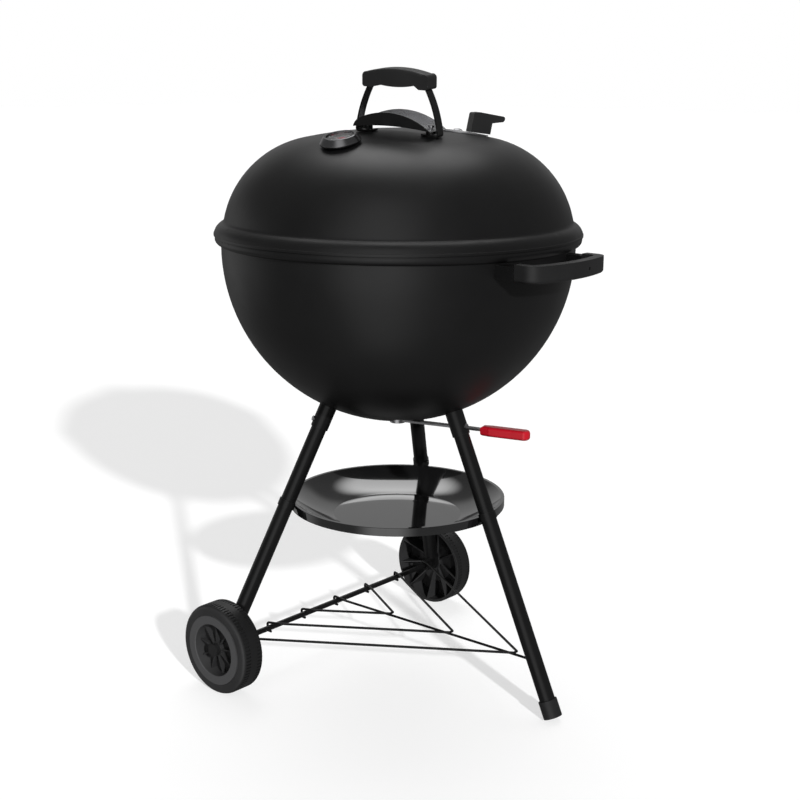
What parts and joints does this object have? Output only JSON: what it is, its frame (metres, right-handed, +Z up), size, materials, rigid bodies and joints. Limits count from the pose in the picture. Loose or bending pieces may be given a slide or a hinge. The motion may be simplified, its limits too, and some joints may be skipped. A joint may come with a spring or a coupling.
{
  "type": "kettle charcoal grill",
  "caption": "Round charcoal kettle grill: enamelled bowl and domed lid with thermometer and damper, on a tripod stand with wheels, wire rack and ash dish.",
  "frame": {"origin": "on the floor, under the middle of the grill's outline", "axes": "+Z up, +X along the wheel axle, -Y towards the front leg and the lifting handle"},
  "size_m": [0.5979, 0.655, 1.0168],
  "materials": {
    "black_enamel": "satin porcelain enamel",
    "gloss_enamel": "gloss porcelain enamel",
    "painted_steel": "semi-gloss black coat",
    "black_nylon": "fine moulded grain",
    "wheel_plastic": "moulded",
    "red_nylon": "smooth moulded",
    "bare_aluminium": "stamped sheet",
    "plated_steel": "plated",
    "gauge_bezel": "dark polished",
    "dial_white": "printed dial",
    "needle_red": "satin",
    "clear_glass": "clear",
    "silicone_seal": "matte"
  },
  "bodies": {
    "bowl_and_stand": {"bowl_shell": "black_enamel", "grate_brackets": "plated_steel", "bowl_handle": "black_nylon", "bowl_handle_brackets": "painted_steel", "front_leg": "painted_steel", "left_leg": "painted_steel", "right_leg": "painted_steel", "front_leg_socket": "painted_steel", "left_leg_socket": "painted_steel", "right_leg_socket": "painted_steel", "leg_screws": "plated_steel", "front_foot": "black_nylon", "wheel_axle": "painted_steel", "left_axle_cap": "plated_steel", "right_axle_cap": "plated_steel", "axle_washers": "plated_steel", "ash_catcher_clips": "painted_steel", "rack_centre_rod": "painted_steel", "inner_rack_wire": "painted_steel", "middle_rack_wire": "painted_steel", "outer_rack_wire": "painted_steel"},
    "lid": {"lid_shell": "black_enamel", "lid_handle_grip": "black_nylon", "left_lid_handle_strap": "painted_steel", "right_lid_handle_strap": "painted_steel", "lid_handle_heat_shield": "gloss_enamel", "lid_handle_spacers": "painted_steel", "lid_handle_bolts": "plated_steel", "lid_handle_nuts": "plated_steel", "lid_damper_rivet": "bare_aluminium", "thermometer_bezel": "gauge_bezel", "thermometer_dial": "dial_white", "thermometer_glass": "clear_glass", "thermometer_probe": "plated_steel", "thermometer_gasket": "silicone_seal", "thermometer_nut": "plated_steel"},
    "lid_damper": {"lid_damper_disc": "bare_aluminium", "lid_damper_tab": "black_nylon"},
    "thermometer_needle": {"thermometer_needle": "needle_red"},
    "cooking_grate": {"cooking_grate": "plated_steel"},
    "charcoal_grate": {"charcoal_grate": "plated_steel"},
    "ash_sweeper": {"ash_sweeper_blades": "bare_aluminium", "sweeper_spindle": "bare_aluminium", "sweeper_lever": "bare_aluminium", "sweeper_lever_grip": "red_nylon"},
    "ash_catcher": {"ash_catcher": "gloss_enamel"},
    "left_wheel": {"left_wheel": "wheel_plastic"},
    "right_wheel": {"right_wheel": "wheel_plastic"}
  },
  "joints": [
    {"name": "lid_lift", "type": "slide", "parent": "bowl_and_stand", "child": "lid", "axis": [0, 0, 1], "range_m": [0, 0.36]},
    {"name": "lid_damper_turn", "type": "hinge", "parent": "lid", "child": "lid_damper", "pos_m": [0.07787, -0.02933, 0.91573], "axis": [0.1032, -0.0766, 0.9917], "range_deg": [0, 45]},
    {"name": "thermometer_needle_turn", "type": "hinge", "parent": "lid", "child": "thermometer_needle", "pos_m": [-0.16269, 0.00098, 0.90348], "axis": [-0.2624, -0.0444, 0.9639], "range_deg": [-260, 0]},
    {"name": "cooking_grate_lift", "type": "slide", "parent": "bowl_and_stand", "child": "cooking_grate", "axis": [0, 0, 1], "range_m": [0, 0.18]},
    {"name": "charcoal_grate_lift", "type": "slide", "parent": "bowl_and_stand", "child": "charcoal_grate", "axis": [0, 0, 1], "range_m": [0, 0.144]},
    {"name": "ash_sweeper_turn", "type": "hinge", "parent": "bowl_and_stand", "child": "ash_sweeper", "pos_m": [0, 0.0285, 0.4462], "axis": [0, 0, 1], "range_deg": [0, 60]},
    {"name": "ash_catcher_lower", "type": "slide", "parent": "bowl_and_stand", "child": "ash_catcher", "axis": [0, 0, -1], "range_m": [0, 0.1]},
    {"name": "left_wheel_spin", "type": "hinge", "parent": "bowl_and_stand", "child": "left_wheel", "pos_m": [-0.27499, 0.1733, 0.0762], "axis": [1, 0, 0], "continuous": true},
    {"name": "right_wheel_spin", "type": "hinge", "parent": "bowl_and_stand", "child": "right_wheel", "pos_m": [0.27499, 0.1733, 0.0762], "axis": [1, 0, 0], "continuous": true}
  ],
  "couplings": [
    {"joint": "cooking_grate_lift", "follows": "lid_lift", "ratio": 0.5},
    {"joint": "charcoal_grate_lift", "follows": "lid_lift", "ratio": 0.4}
  ]
}
